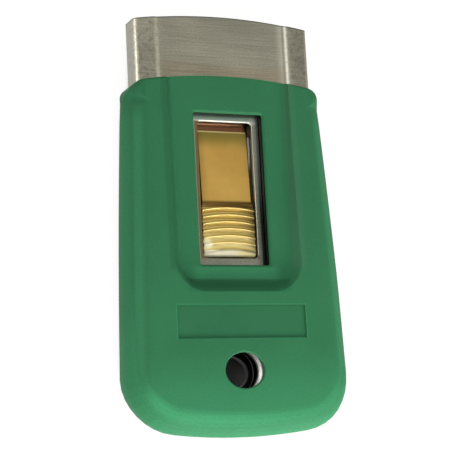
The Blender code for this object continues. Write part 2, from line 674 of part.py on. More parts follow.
def blade(mat):
    """A single-edge blade: flat stock ground from both faces to the edge."""
    edge_y = BLADE_EDGE_Y
    back_y = edge_y - BLADE_HEIGHT
    middle = ON_CARRIER_Z + SPINE_THICKNESS / 2
    t = BLADE_THICKNESS / 2
    e = BLADE_EDGE_THICKNESS / 2
    section = [(back_y, -t), (edge_y - BLADE_GRIND, -t), (edge_y, -e), (edge_y, e),
               (edge_y - BLADE_GRIND, t), (back_y, t)]
    bm = bmesh.new()
    rows = [[bm.verts.new((x, y, middle + z)) for y, z in section]
            for x in (-BLADE_LENGTH / 2, BLADE_LENGTH / 2)]
    count = len(section)
    for i in range(count):
        j = (i + 1) % count
        bm.faces.new((rows[0][i], rows[0][j], rows[1][j], rows[1][i]))
    bm.faces.new(rows[0])
    bm.faces.new(rows[1])
    bmesh.ops.recalc_face_normals(bm, faces=bm.faces)
    return link(bm, "razor_blade", mat)


def blade_spine(mat):
    """The folded strip that stiffens the blade's back edge, open towards the cutting edge."""
    low_y = SPINE_BACK_Y
    high_y = SPINE_BACK_Y + SPINE_HEIGHT
    r = SPINE_THICKNESS / 2
    middle = ON_CARRIER_Z + r
    section = [(high_y, middle + r)]
    section += [(y, z) for y, z in arc((low_y + r, middle), r, 90, 270, 6)]
    section.append((high_y, middle - r))
    spine = link(strip(section, "x", -BLADE_LENGTH / 2, BLADE_LENGTH / 2), "blade_spine", mat)
    solidify(spine, SPINE_SHEET, -1)
    smooth(spine)
    return spine


# Brass thumb leaf.


def leaf_height(x, y):
    """Height of the leaf's upper face above the carrier's underside, plate first and then the pad."""
    side = abs(x) / PAD_HALF_WIDTH
    on_root = min(1.0, (LEAF_ROOT_Y - y) / LEAF_ROOT_RUN)
    on_plate = max(0.0, LEAF_BEND_Y - y) / LEAF_PLATE_LENGTH
    plate = LEAF_SHEET + LEAF_ROOT_RISE * on_root + (LEAF_RISE - LEAF_ROOT_RISE) * on_plate
    on_pad = step_up(STEP_START_Y - y, 0, STEP_RUN)
    into_end = max(0.0, PAD_END_Y + PAD_END_DROP - y) / PAD_END_DROP
    dome = PAD_HEIGHT - PAD_CROWN * side ** PAD_CROWN_POWER - PAD_END_DROP * into_end ** 2
    phase = (PAD_TOP_Y - y - RIB_ARCH * side * side) * RIB_COUNT / PAD_LENGTH
    ridge = (1 + math.cos(2 * math.pi * phase)) / 2
    rib = RIB_HEIGHT * (2 * ridge ** RIB_SHARPNESS - 1) * (1 - into_end)
    return plate * (1 - on_pad) + (LEAF_SHEET + dome + rib) * on_pad


def thumb_leaf(mat):
    """One brass pressing: a springy plate, the step and the domed pad with arched ribs."""
    bm = bmesh.new()
    columns = 14
    places = [LEAF_ROOT_Y, LEAF_BEND_Y]
    places += evenly(LEAF_BEND_Y, STEP_START_Y, 6)
    places += evenly(STEP_START_Y, PAD_TOP_Y, 5)
    places += evenly(PAD_TOP_Y, PAD_END_Y, RIB_COUNT * 8)
    grid = []
    for y in places:
        row = []
        half_width = LEAF_HALF_WIDTH + PAD_SIDE_FLARE * step_up(STEP_START_Y - y, 0, STEP_RUN)
        for i in range(columns + 1):
            x = half_width * math.sin(math.pi * (i / columns - 0.5))
            row.append(bm.verts.new((x, y, CARRIER_Z + leaf_height(x, y))))
        grid.append(row)
    for upper, lower in zip(grid, grid[1:]):
        for i in range(columns):
            bm.faces.new((upper[i], lower[i], lower[i + 1], upper[i + 1]))
    face_upwards(bm)
    leaf = link(bm, "thumb_leaf", mat)
    solidify(leaf, LEAF_SHEET, -1)

    ear_top = ON_CARRIER_Z + LEAF_SHEET
    low_top = CARRIER_Z + LEAF_SHEET
    ear_low_y = LEAF_ROOT_Y - LEAF_EAR_LENGTH
    for side in (-1, 1):
        name = "left" if side < 0 else "right"
        under_plate_x = side * (LEAF_HALF_WIDTH - LEAF_SLOT)
        section = [(under_plate_x, low_top), (side * LEAF_EAR_BEND_X, low_top),
                   (side * LEAF_EAR_RAMP_X, ear_top), (side * LEAF_EAR_HALF_WIDTH, ear_top)]
        ear = link(strip(section, "y", ear_low_y, LEAF_ROOT_Y), f"leaf_ear_{name}")
        solidify(ear, LEAF_SHEET, -1)
        past_x = side * (LEAF_HALF_WIDTH - 2 * LEAF_SLOT)
        bend_x = side * LEAF_EAR_BEND_X
        slot = prism([(past_x, ear_low_y - OVERRUN), (bend_x, ear_low_y - OVERRUN),
                      (bend_x, LEAF_BEND_Y), (past_x, LEAF_BEND_Y)],
                     CARRIER_Z - OVERRUN, CARRIER_Z + OVERRUN)
        boolean(ear, link(slot, f"leaf_slot_{name}"))
        boolean(leaf, ear, "UNION", "MANIFOLD")
        hole_radius = RIVET_RADIUS + CLEARANCE / 2
        hole = prism(circle_outline(side * RIVET_X, RIVET_Y, hole_radius, hole_radius, RIVET_STEPS),
                     ON_CARRIER_Z - CLEARANCE / 2, ON_CARRIER_Z + OVERRUN)
        boolean(leaf, link(hole, f"leaf_rivet_hole_{name}"), solver="MANIFOLD")
    smooth(leaf, 50)
    return leaf


def leaf_rivet(side, mat):
    name = "leaf_rivet_left" if side < 0 else "leaf_rivet_right"
    seat = ON_CARRIER_Z + LEAF_SHEET + CLEARANCE
    head_top = seat + RIVET_HEAD_HEIGHT
    profile = [(0, head_top), (RIVET_HEAD_RADIUS * RIVET_CROWN_SHARE, head_top),
               (RIVET_HEAD_RADIUS, seat + RIVET_HEAD_HEIGHT / 4), (RIVET_HEAD_RADIUS, seat),
               (RIVET_RADIUS, seat), (RIVET_RADIUS, CARRIER_Z), (0, CARRIER_Z)]
    return screw(profile, name, (side * RIVET_X, RIVET_Y, 0), RIVET_STEPS, mat)


def pivot(name, place, parent=None):
    """An empty on a joint's axis, which carries the pieces that move with it."""
    empty = bpy.data.objects.new(name, None)
    empty.empty_display_size = BLADE_HEIGHT
    PARTS.objects.link(empty)
    if parent:
        empty.parent = parent
        place = Vector(place) - parent.location
    empty.location = place
    return empty


def carry(empty, obj):
    """Parents an object to an empty and leaves it where it is."""
    offset = empty.location.copy()
    if empty.parent:
        offset += empty.parent.location
    obj.parent = empty
    obj.location -= offset


def build():
    rubber = material("green_rubber", (0.035, 0.19, 0.09), 0.6, 0.0)
    steel = material("brushed_steel", (0.42, 0.41, 0.37), 0.35, 1.0)
    blade_steel = material("blade_steel", (0.6, 0.6, 0.6), 0.2, 1.0)
    plated = material("zinc_plated_steel", (0.5, 0.5, 0.48), 0.4, 1.0)
    brass = material("brass", (0.72, 0.5, 0.18), 0.3, 1.0)

    grip_sleeve(rubber)
    sheath_front(steel)
    sheath_back(steel.copy())
    guide_frame(steel.copy())

    slide = pivot("blade_slide_axis", (0, SPINE_BACK_Y, CARRIER_Z))
    for obj in (blade_carrier(plated), blade(blade_steel), blade_spine(blade_steel.copy()),
                leaf_rivet(-1, brass.copy()), leaf_rivet(1, brass.copy())):
        carry(slide, obj)
    press = pivot("thumb_press_axis", (0, LEAF_BEND_Y, CARRIER_Z + LEAF_SHEET / 2), slide)
    carry(press, thumb_leaf(brass))


build()
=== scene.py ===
"""Pocket safety scraper: green rubber sleeve, brushed steel sheath and sprung brass thumb leaf."""

import math
from functools import partial

import bpy
from mathutils import Matrix, Vector

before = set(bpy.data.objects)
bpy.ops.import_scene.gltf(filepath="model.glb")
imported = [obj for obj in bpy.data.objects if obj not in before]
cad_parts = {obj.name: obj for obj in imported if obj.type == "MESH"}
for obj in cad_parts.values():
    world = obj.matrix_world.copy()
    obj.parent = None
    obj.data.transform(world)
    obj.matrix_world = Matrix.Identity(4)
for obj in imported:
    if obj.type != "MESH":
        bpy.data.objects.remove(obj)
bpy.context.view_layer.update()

scene = bpy.context.scene
scene.view_settings.view_transform = "Standard"


# Rubber grip sleeve
# One moulding of green rubber, slipped over the steel from the tail end and held by its own grip.
# It is matt, with a fine grain from the mould, and has painted highlights and painted shade.
BLACK = (0.0, 0.0, 0.0)
GREEN_DARK = (0.0240, 0.139, 0.060)
GREEN_LIGHT = (0.0275, 0.158, 0.069)
GREEN_HIGHLIGHT = (0.048, 0.285, 0.128)
GREEN_PIT = (0.012, 0.080, 0.036)
RIGHT_WALL_GREY = (0.10, 0.16, 0.11)
RUBBER_SHADE = (0.004, 0.006, 0.005)
HOLE_Y = -0.0326
RIDGE_CORNER = 0.0093
RIDGE_HALF_WIDTH = 0.02225
RIDGE_TAPER = 0.043
RIDGE_WIDEST = 0.0232
RIDGE_ARCH = 4.17
RIDGE_END = 0.0333
# Half width, low end and high end of an outline that is the same on both sides of the tool.
SLEEVE_WINDOW = (0.0087, -0.0102, 0.0240)
LABEL = (0.01505, -0.02562, -0.01852)
LABEL_BORDER = (0.01527, -0.02586, -0.01830)
# Start, full, last full and end of a soft band: outside the ridge, across the tool or along it.
RIDGE_RIM = (0.0006, 0.0022, 0.0029, 0.0035)
RECESS_LEFT_WALL = (-0.0163, -0.0157, -0.0138, -0.0133)
RECESS_RIGHT_WALL = (0.0133, 0.0138, 0.0157, 0.0163)
RECESS_FOOT = (-0.0132, -0.0124, -0.0104, -0.0096)
RECESS_HEEL = (-0.0159, -0.0156, -0.0130, -0.0124)
LEFT_SHOULDER = (-0.0226, -0.0218, -0.0200, -0.0192)


def set_sockets(node, **values):
    """Fills a node's inputs by name, from another node's output or with a plain value."""
    for name, value in values.items():
        socket = node.inputs[name.replace("_", " ")]
        if isinstance(value, bpy.types.NodeSocket):
            node.id_data.links.new(value, socket)
        else:
            socket.default_value = value


def new_material(name, **values):
    """A node material, its tree and its shader."""
    made = bpy.data.materials.new(name)
    made.use_nodes = True
    shader = made.node_tree.nodes["Principled BSDF"]
    set_sockets(shader, **values)
    return made, made.node_tree, shader


def add(tree, kind, **values):
    """A node with its properties set, and its inputs where the name is an input's."""
    node = tree.nodes.new(kind)
    for name, value in values.items():
        if hasattr(node, name):
            setattr(node, name, value)
        else:
            set_sockets(node, **{name: value})
    return node


def new_group(name, inputs, outputs):
    """A shader group with named number inputs: its tree, its input node and its output node."""
    tree = bpy.data.node_groups.new(name, "ShaderNodeTree")
    for socket, value in inputs.items():
        made = tree.interface.new_socket(socket, in_out="INPUT", socket_type="NodeSocketFloat")
        made.default_value = value
    for socket in outputs:
        tree.interface.new_socket(socket, in_out="OUTPUT", socket_type="NodeSocketFloat")
    return tree, tree.nodes.new("NodeGroupInput").outputs, tree.nodes.new("NodeGroupOutput")


def use_group(tree, group, **values):
    """A group's outputs, with its inputs filled."""
    node = tree.nodes.new("ShaderNodeGroup")
    node.node_tree = group
    set_sockets(node, **values)
    return node.outputs


def own_place(tree):
    """The point on the piece. Every solid's own origin is the tool's, and lengths are in metres."""
    return add(tree, "ShaderNodeTexCoord").outputs["Object"]


def axes(tree):
    """The point on the piece, as three separate outputs."""
    parts = add(tree, "ShaderNodeSeparateXYZ", Vector=own_place(tree))
    return parts.outputs["X"], parts.outputs["Y"], parts.outputs["Z"]


def noise(place, **values):
    """Cloudy noise, as a number around one half."""
    return add(place.id_data, "ShaderNodeTexNoise", Vector=place, **values).outputs["Fac"]


def work_out(operation, result, *others):
    """One sum over outputs and plain numbers, from left to right. A lone value takes a nought."""
    for value in others or (0.0,):
        tree = (result if isinstance(result, bpy.types.NodeSocket) else value).id_data
        node = add(tree, "ShaderNodeMath", operation=operation)
        for socket, part in zip(node.inputs, (result, value)):
            if isinstance(part, bpy.types.NodeSocket):
                tree.links.new(part, socket)
            else:
                socket.default_value = part
        result = node.outputs["Value"]
    return result


plus = partial(work_out, "ADD")
minus = partial(work_out, "SUBTRACT")
times = partial(work_out, "MULTIPLY")
most = partial(work_out, "MAXIMUM")
least = partial(work_out, "MINIMUM")
size = partial(work_out, "ABSOLUTE")
under = partial(work_out, "LESS_THAN")
over = partial(work_out, "GREATER_THAN")


def distance(across, along):
    """How far away a point is that lies so far across and so far along."""
    return work_out("SQRT", plus(times(across, across), times(along, along)))


def fade(value, start, end, low=0.0, high=1.0):
    """A soft change from low to high while the value goes from start to end, either way."""
    node = add(value.id_data, "ShaderNodeMapRange", interpolation_type="SMOOTHSTEP",
               Value=value, From_Min=start, From_Max=end, To_Min=low, To_Max=high)
    return node.outputs["Result"]


def band(value, start, full, last_full, end):
    """Rises from 0 at start to 1 at full, and falls from 1 at last_full to 0 at end."""
    return times(fade(value, start, full), fade(value, end, last_full))


def inside(x, y, half_width, low, high):
    """One inside a plain outline and nought outside it."""
    return times(under(size(x), half_width), over(y, low), under(y, high))


def ramp(value, dark, light, low=0.3, high=0.7):
    """A colour that goes from dark to light while the value goes from low to high."""
    node = add(value.id_data, "ShaderNodeValToRGB", Fac=value)
    for stop, colour, place in zip(node.color_ramp.elements, (dark, light), (low, high)):
        stop.color = (*colour, 1)
        stop.position = place
    return node.outputs["Color"]


def blend(share, first, second, kind="MIX"):
    """Mixes two colours, each given as an output or as plain values."""
    tree = share.id_data
    node = add(tree, "ShaderNodeMix", data_type="RGBA", blend_type=kind)
    tree.links.new(share, node.inputs[0])
    for socket, colour in ((node.inputs[6], first), (node.inputs[7], second)):
        if isinstance(colour, tuple):
            socket.default_value = (*colour, 1)
        else:
            tree.links.new(colour, socket)
    return node.outputs[2]


def relief(height, strength, depth):
    """A surface normal that follows fine relief."""
    node = add(height.id_data, "ShaderNodeBump", Height=height, Strength=strength, Distance=depth)
    return node.outputs["Normal"]


def dress(name, material):
    """Gives a carried-over solid its material."""
    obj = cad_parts[name]
    obj.data.materials.clear()
    obj.data.materials.append(material)


def from_hole(x, y):
    """Distance from the hang hole's axis."""
    return distance(x, minus(y, HOLE_Y))


def past_ridge(x, y):
    """How far outside the sleeve's ridge a point lies: the line where the flat face turns down."""
    low = most(minus(times(x, x, RIDGE_ARCH), y, RIDGE_END), 0.0)
    half = least(minus(RIDGE_HALF_WIDTH, times(y, RIDGE_TAPER)), RIDGE_WIDEST)
    side = most(minus(size(x), minus(half, RIDGE_CORNER)), 0.0)
    return minus(distance(low, side), RIDGE_CORNER)


# Moulded grain: fine pits from the mould, with broad soft changes of tone.
moulded_grain, given, out = new_group(
    "moulded_grain", {"Pit Scale": 4000.0, "Cloud Scale": 60.0}, ("Pits", "Clouds"))
place = own_place(moulded_grain)
set_sockets(out, Pits=noise(place, Scale=given["Pit Scale"], Detail=3.0, Roughness=0.6),
            Clouds=noise(place, Scale=given["Cloud Scale"], Detail=4.0, Roughness=0.55))

rubber, tree, shader = new_material("green_rubber", Roughness=0.6, Specular_IOR_Level=0.12)
grain = use_group(tree, moulded_grain, Pit_Scale=3500.0, Cloud_Scale=70.0)
x, y, z = axes(tree)
colour = ramp(grain["Clouds"], GREEN_DARK, GREEN_LIGHT)
# Painted highlight lightens the tail end, most of all the ridge where the face turns down.
ridge = past_ridge(x, y)
tail = fade(y, -0.0260, -0.0430, 0.0, 0.46)
turn = times(fade(ridge, -0.0014, 0.0), fade(ridge, 0.0004, 0.0014, 1.0, 0.25), 0.36)
rim = times(band(ridge, *RIDGE_RIM), 0.28)
beside = times(most(turn, rim), fade(y, 0.0265, 0.0215, 0.1, 1.0))
end = times(fade(ridge, -0.0030, 0.0003, 0.0, 0.85), fade(ridge, 0.0004, 0.0034, 1.0, 0.30),
            fade(x, -0.0100, 0.0160, 1.15, 0.78))
low = fade(y, -0.0340, -0.0400)
ridge_and_tail_highlight = plus(times(beside, minus(1.0, low)), times(end, low))
flank = times(fade(ridge, 0.0002, 0.0012), fade(x, -0.0180, -0.0200),
              fade(y, -0.0060, -0.0300, 0.0, 0.45))
colour = blend(most(tail, ridge_and_tail_highlight, flank), colour, GREEN_HIGHLIGHT)
# Painted light lifts the recess floor above its lower wall; a painted highlight rims the label.
foot = times(fade(size(x), 0.0115, 0.0085, 0.0, 0.38), band(y, *RECESS_FOOT))
colour = blend(foot, colour, GREEN_HIGHLIGHT)
border = minus(inside(x, y, *LABEL_BORDER), inside(x, y, *LABEL))
colour = blend(times(border, 0.35), colour, GREEN_HIGHLIGHT)
colour = blend(fade(grain["Pits"], 0.35, 0.65, 0.0, 0.22), colour, GREEN_PIT)
# Painted shade darkens the recess's left wall and foot, the left shoulder and the lower edge.
# The label panel is a little darker, and the recess's right wall is greyer.
wall = times(band(x, *RECESS_LEFT_WALL), fade(y, -0.0120, -0.0100, 0.0, 0.16))
panel = times(inside(x, y, *LABEL), 0.09)
lower_edge = fade(z, 0.0050, 0.0015, 0.0, 0.35)
shoulder = times(fade(y, 0.0245, 0.0262), band(x, *LEFT_SHOULDER), 0.12)
heel = times(band(y, *RECESS_HEEL), fade(size(x), 0.0128, 0.0112),
             fade(y, -0.0156, -0.0130, 0.12, 0.28))
colour = blend(most(wall, panel, lower_edge, shoulder, heel), colour, BLACK)
right_wall_greying = times(band(x, *RECESS_RIGHT_WALL), fade(y, -0.0120, -0.0090), 0.14)
colour = blend(right_wall_greying, colour, RIGHT_WALL_GREY)
# Painted shade darkens the hang hole and the foot of the window's edge.
hole = times(fade(from_hole(x, y), 0.0065, 0.006), fade(z, 0.0104, 0.0101))
window = times(inside(x, y, *SLEEVE_WINDOW), fade(z, 0.0088, 0.0084, 0.0, 0.1))
colour = blend(most(hole, window), colour, RUBBER_SHADE)
set_sockets(shader, Base_Color=colour, Normal=relief(grain["Pits"], 0.25, 0.00008))
dress("grip_sleeve", rubber)


# Steel sheath
# Two pressed sheets of stainless steel, brushed across the tool before they were bent.
# The front has a stepped centre panel; the back plate is caught between its turned-in lips.
SHEATH_DARK = (0.36, 0.348, 0.272)
SHEATH_LIGHT = (0.53, 0.515, 0.415)
WALL_SHADE_TINT = (0.45, 0.45, 0.43)
FOLD_HIGHLIGHT_TINT = (0.90, 0.89, 0.82)
STEP_HIGHLIGHT = (0.85, 0.84, 0.72)
STEP_CREST_HIGHLIGHT_TINT = (0.97, 0.97, 0.90)
RIGHT_STRIP_TINT = (0.72, 0.72, 0.71)
LEFT_STRIP_TINT = (0.96, 0.96, 0.96)
SCUFF_GREY = (0.10, 0.095, 0.075)
LIP_SHADE_TINT = (0.86, 0.77, 0.68)
SHEARED_EDGE = (0.03, 0.03, 0.025)
FLANGE_HIGHLIGHT_WHITE = (0.95, 0.97, 0.93)
STEEL_SHADE = (0.008, 0.010, 0.009)
LIT_STRIP_GREY = (0.50, 0.50, 0.46)
STREAK_HIGHLIGHT_WHITE = (0.95, 0.95, 0.92)
MOUTH_CENTRE_Y = -0.0833
MOUTH_EDGE = (0.1296, 0.1299)
RIGHT_CREST = (0.0153, 0.0156, 0.0157, 0.0160)
LIT_LENGTH = (-0.0095, -0.0085, 0.0218, 0.0225)
GREY_STRIP = (0.0073, 0.0075, 0.0085, 0.0088)
WHITE_STREAK = (0.00655, 0.00665, 0.00695, 0.00705)
FRAME_SLOT = (0.0089, -0.0107, 0.0254)
GLOSS_SPREAD = 0.07

# Brushed lines: long scratches along X, with broad patches of tone and fine grit.
brushed_lines, given, out = new_group(
    "brushed_lines", {"Fineness": 2600.0, "Length": 45.0, "Patch Scale": 40.0},
    ("Lines", "Patches", "Grit"))
place = own_place(brushed_lines)
stretch = add(brushed_lines, "ShaderNodeCombineXYZ",
              X=given["Length"], Y=given["Fineness"], Z=given["Fineness"])
scaled = add(brushed_lines, "ShaderNodeVectorMath", operation="MULTIPLY")
brushed_lines.links.new(place, scaled.inputs[0])
brushed_lines.links.new(stretch.outputs["Vector"], scaled.inputs[1])
set_sockets(out, Lines=noise(scaled.outputs["Vector"], Scale=1.0, Detail=5.0, Roughness=0.7),
            Patches=noise(place, Scale=given["Patch Scale"], Detail=3.0),
            Grit=noise(place, Scale=3800.0, Detail=2.0, Roughness=0.6))


def brushed_metal(name, dark, light, roughness, length=30.0):
    """Metal whose tone and gloss both follow the brushing, with its colour output as well."""
    made, tree, shader = new_material(name, Metallic=1.0)
    lines = use_group(tree, brushed_lines, Fineness=4200.0, Length=length, Patch_Scale=45.0)
    gritty = fade(lines["Grit"], 0.35, 0.65, 0.87, 1.13)
    cloudy = fade(lines["Patches"], 0.35, 0.65, 0.93, 1.07)
    tone = add(tree, "ShaderNodeVectorMath", operation="SCALE", Scale=times(gritty, cloudy),
               Vector=ramp(lines["Lines"], dark, light, 0.35, 0.65)).outputs["Vector"]
    gloss = add(tree, "ShaderNodeMapRange", Value=lines["Patches"], From_Min=0.3, From_Max=0.7,
                To_Min=roughness - GLOSS_SPREAD, To_Max=roughness + GLOSS_SPREAD)
    set_sockets(shader, Base_Color=tone, Roughness=gloss.outputs["Result"],
                Normal=relief(lines["Lines"], 0.15, 0.00002))
    return made, tree, shader, tone


sheath_steel, tree, shader, colour = brushed_metal(
    "sheath_steel", SHEATH_DARK, SHEATH_LIGHT, 0.36, length=70.0)
x, y, z = axes(tree)
half = size(x)
# Painted highlights brighten both folds and the right-hand step; painted shade darkens the walls.
colour = blend(fade(z, 0.0075, 0.0069, 0.0, 0.4), colour, WALL_SHADE_TINT, "MULTIPLY")
fold_highlight = times(fade(half, 0.0206, 0.0208), fade(z, 0.0073, 0.0076), 0.7)
colour = blend(fold_highlight, colour, FOLD_HIGHLIGHT_TINT)
glow = times(fade(x, 0.0128, 0.0147, 0.0, 0.42), fade(x, 0.0149, 0.0147))
colour = blend(glow, colour, STEP_HIGHLIGHT)
step_crest_highlight = times(band(x, *RIGHT_CREST), 0.6)
colour = blend(step_crest_highlight, colour, STEP_CREST_HIGHLIGHT_TINT)
colour = blend(fade(x, 0.0150, 0.0185), colour, RIGHT_STRIP_TINT, "MULTIPLY")
# Scuffs darken the narrow strips beside the panel.
scuffs = noise(own_place(tree), Scale=900.0, Detail=5.0, Roughness=0.7)
scuffed = times(fade(half, 0.0153, 0.0157), fade(scuffs, 0.50, 0.62, 0.0, 0.30))
colour = blend(scuffed, colour, SCUFF_GREY)
colour = blend(fade(x, -0.0152, -0.0156), colour, LEFT_STRIP_TINT, "MULTIPLY")
# Painted brown shade lies along the rubber's lip, and the sheared mouth edge is darker.
lip_shade = times(fade(y, 0.0372, 0.0340, 0.0, 0.75), fade(half, 0.0158, 0.0140))
colour = blend(lip_shade, colour, LIP_SHADE_TINT, "MULTIPLY")
mouth = distance(x, minus(y, MOUTH_CENTRE_Y))
colour = blend(fade(mouth, *MOUTH_EDGE, 0.0, 0.6), colour, SHEARED_EDGE)
# A painted highlight on the hole's flange, painted shade below it and in the guide frame's slot.
flange_highlight = times(fade(from_hole(x, y), 0.0061, 0.0051), fade(z, 0.0070, 0.0072))
colour = blend(flange_highlight, colour, FLANGE_HIGHLIGHT_WHITE)
slot = times(inside(x, y, *FRAME_SLOT), fade(z, 0.0040, 0.0045))
hole = times(fade(from_hole(x, y), 0.0062, 0.0060), fade(z, 0.0070, 0.0068))
colour = blend(most(slot, hole), colour, STEEL_SHADE)
# Right of the leaf, painted light on the back plate: a grey strip and a white streak.
lit = times(fade(z, 0.0040, 0.0038), band(y, *LIT_LENGTH))
lit_strip = times(lit, band(x, *GREY_STRIP))
colour = blend(lit_strip, colour, LIT_STRIP_GREY)
streak_highlight = times(lit, band(x, *WHITE_STREAK), fade(y, 0.0120, 0.0150))
colour = blend(streak_highlight, colour, STREAK_HIGHLIGHT_WHITE)
set_sockets(shader, Base_Color=colour, Metallic=minus(1.0, most(times(flange_highlight, 0.65), lit_strip, streak_highlight)))
dress("sheath_front", sheath_steel)
dress("sheath_back", sheath_steel)


# Guide frame
# A plain steel pressing, spot-welded under the panel; the slide runs in its opening.
# Its four strips show as a narrow grey ledge inside the thumb window.
FRAME_DARK = (0.28, 0.285, 0.225)
FRAME_LIGHT = (0.37, 0.375, 0.30)
GREEN_REFLECTION = (0.39, 0.64, 0.52)
TOP_EDGE_HIGHLIGHT = (0.70, 0.72, 0.66)
BRASS_SHADE_TINT = (0.26, 0.19, 0.09)
OUTER_LINE = (0.42, 0.46, 0.36)
FAR_SHADE = (0.05, 0.072, 0.056)
UPPER_HIGHLIGHT = (0.85, 0.88, 0.78)
TOP_EDGE = (0.0224, 0.0226, 0.0232, 0.0234)
LEFT_LENGTH = (-0.0081, -0.0077, 0.0227, 0.0231)
RIGHT_LENGTH = (-0.0085, -0.0075, 0.0218, 0.0228)
RIGHT_INNER_EDGE = (0.0062, 0.0063, 0.0067, 0.0069)
inner_steel, tree, shader, colour = brushed_metal("inner_steel", FRAME_DARK, FRAME_LIGHT, 0.3)
x, y, _ = axes(tree)
# Painted green reflection under the window's top edge, and a painted highlight on the edge below.
colour = blend(fade(y, 0.0229, 0.0236, 0.0, 0.6), colour, GREEN_REFLECTION)
colour = blend(band(y, *TOP_EDGE), colour, TOP_EDGE_HIGHLIGHT)
# Painted shade with a brass reflection browns the left strip; its outer side has a greyer line.
left = times(fade(x, -0.0060, -0.0064), band(y, *LEFT_LENGTH))
colour = blend(left, colour, BRASS_SHADE_TINT)
colour = blend(times(fade(x, -0.0071, -0.0073), left), colour, OUTER_LINE)
# Painted shade darkens the right strip far out and at its inner edge; painted highlight near its
# top.
colour = blend(fade(x, 0.0075, 0.0077), colour, FAR_SHADE)
upper = times(fade(x, 0.0060, 0.0064), fade(y, 0.000, 0.014, 0.0, 0.30))
colour = blend(upper, colour, UPPER_HIGHLIGHT)
rim = times(band(x, *RIGHT_INNER_EDGE), band(y, *RIGHT_LENGTH), 0.55)
set_sockets(shader, Base_Color=blend(rim, colour, BLACK))
dress("guide_frame", inner_steel)


# Blade carriage
# A zinc-plated forked carrier and a bought razor blade with its folded back. Painted shade
# darkens the carrier's corners. The two brass rivets are dressed with the leaf that they hold.
ZINC_DARK = (0.3, 0.3, 0.3)
ZINC_LIGHT = (0.4, 0.4, 0.38)
BLADE_DARK = (0.42, 0.42, 0.42)
BLADE_LIGHT = (0.5, 0.5, 0.5)
CORNER_SHADE = (0.012, 0.011, 0.010)
plated_steel, tree, shader, colour = brushed_metal("plated_steel", ZINC_DARK, ZINC_LIGHT, 0.35)
crevice = add(tree, "ShaderNodeAmbientOcclusion", Distance=0.004, samples=8)
open_face = work_out("POWER", crevice.outputs["AO"], 2.0)
set_sockets(shader, Base_Color=blend(open_face, CORNER_SHADE, colour))
dress("blade_carrier", plated_steel)
blade_steel, *_ = brushed_metal("blade_steel", BLADE_DARK, BLADE_LIGHT, 0.2)
dress("razor_blade", blade_steel)
dress("blade_spine", blade_steel)


# Thumb leaf
# One pressing of spring brass with a ribbed thumb pad; painted highlights make the pad pale.
# The plate above the pad is plain and satin; painted shade makes the root above its bend brown.
BRASS_DARK = (0.71, 0.435, 0.104)
BRASS_LIGHT = (0.83, 0.52, 0.130)
PLATE_TOP_TINT = (0.37, 0.50, 0.48)
PLATE_LOW = (0.98, 0.65, 0.17)
SIDE_TINT = (0.42, 0.42, 0.5)
ROOT_SHADE_BROWN = (0.27, 0.12, 0.065)
ROOT_SHADE = (0.02, 0.014, 0.01)
BEND_HIGHLIGHT_TINT = (0.9, 0.72, 0.34)
STEP_SHADE_BROWN = (0.16, 0.10, 0.035)
PAD_BRASS = (0.38, 0.265, 0.065)
PAD_RIGHT = (0.12, 0.08, 0.03)
PAD_HIGHLIGHT_TINT = (0.99, 0.86, 0.40)
GROOVE_HIGHLIGHT_TINT = (0.98, 0.78, 0.26)
RIB_CREST_HIGHLIGHT_TINT = (0.87, 0.69, 0.27)
END_HIGHLIGHT = (0.99, 0.96, 0.74)
END_YELLOW_HIGHLIGHT = (1.0, 0.90, 0.42)
NICK_DARK = (0.05, 0.04, 0.02)
GLINT_TINT = (1.0, 0.97, 0.66)
BLOB_X, BLOB_Y = -0.0054, -0.0047
RIB_COUNT = 7
RIB_ARCH = 13.22
PAD_TOP = 0.0034
PAD_LENGTH = 0.0108
GROOVE_PLACE, SLOPE_PLACE, CREST_PLACE = 0.72, 0.20, 0.02
BEND = (0.0208, 0.0209, 0.02108, 0.02118)
STEP = (0.0031, 0.0037, 0.0047, 0.0054)
PAD = (-0.0061, -0.0056, 0.0033, 0.0037)
UPPER_PAD = (-0.0050, 0.0000, 0.0035, 0.0050)
NICK = (-0.0062, -0.0060, -0.0058, -0.0056)

brass, tree, shader = new_material("satin_brass", Metallic=1.0)
grain = use_group(tree, moulded_grain, Pit_Scale=5000.0, Cloud_Scale=160.0)
x, y, _ = axes(tree)
colour = ramp(grain["Clouds"], BRASS_DARK, BRASS_LIGHT)
# Painted shade darkens the plate's top and left side; painted light brightens it lower down.
colour = blend(fade(y, 0.0165, 0.0205, 0.0, 0.9), colour, PLATE_TOP_TINT, "MULTIPLY")
colour = blend(fade(y, 0.013, 0.006, 0.0, 0.25), colour, PLATE_LOW)
side = times(fade(x, -0.0038, -0.0062, 0.0, 0.45), fade(y, -0.0010, 0.0045, 0.2, 1.0))
colour = blend(side, colour, SIDE_TINT, "MULTIPLY")
# Painted shade makes the root brown and dark at its right end; a painted highlight marks the bend.
root = fade(y, 0.02105, 0.02125)
colour = blend(root, colour, ROOT_SHADE_BROWN)
colour = blend(times(root, fade(x, 0.0050, 0.0060, 0.0, 0.95)), colour, ROOT_SHADE)
colour = blend(times(fade(x, 0.00582, 0.00588), fade(y, 0.0185, 0.0190)), colour, ROOT_SHADE)
bend_highlight = times(fade(x, 0.00585, 0.0056), band(y, *BEND))
colour = blend(bend_highlight, colour, BEND_HIGHLIGHT_TINT)
# Painted shade darkens the step between the plate and the pad.
colour = blend(times(band(y, *STEP), 0.75), colour, STEP_SHADE_BROWN)
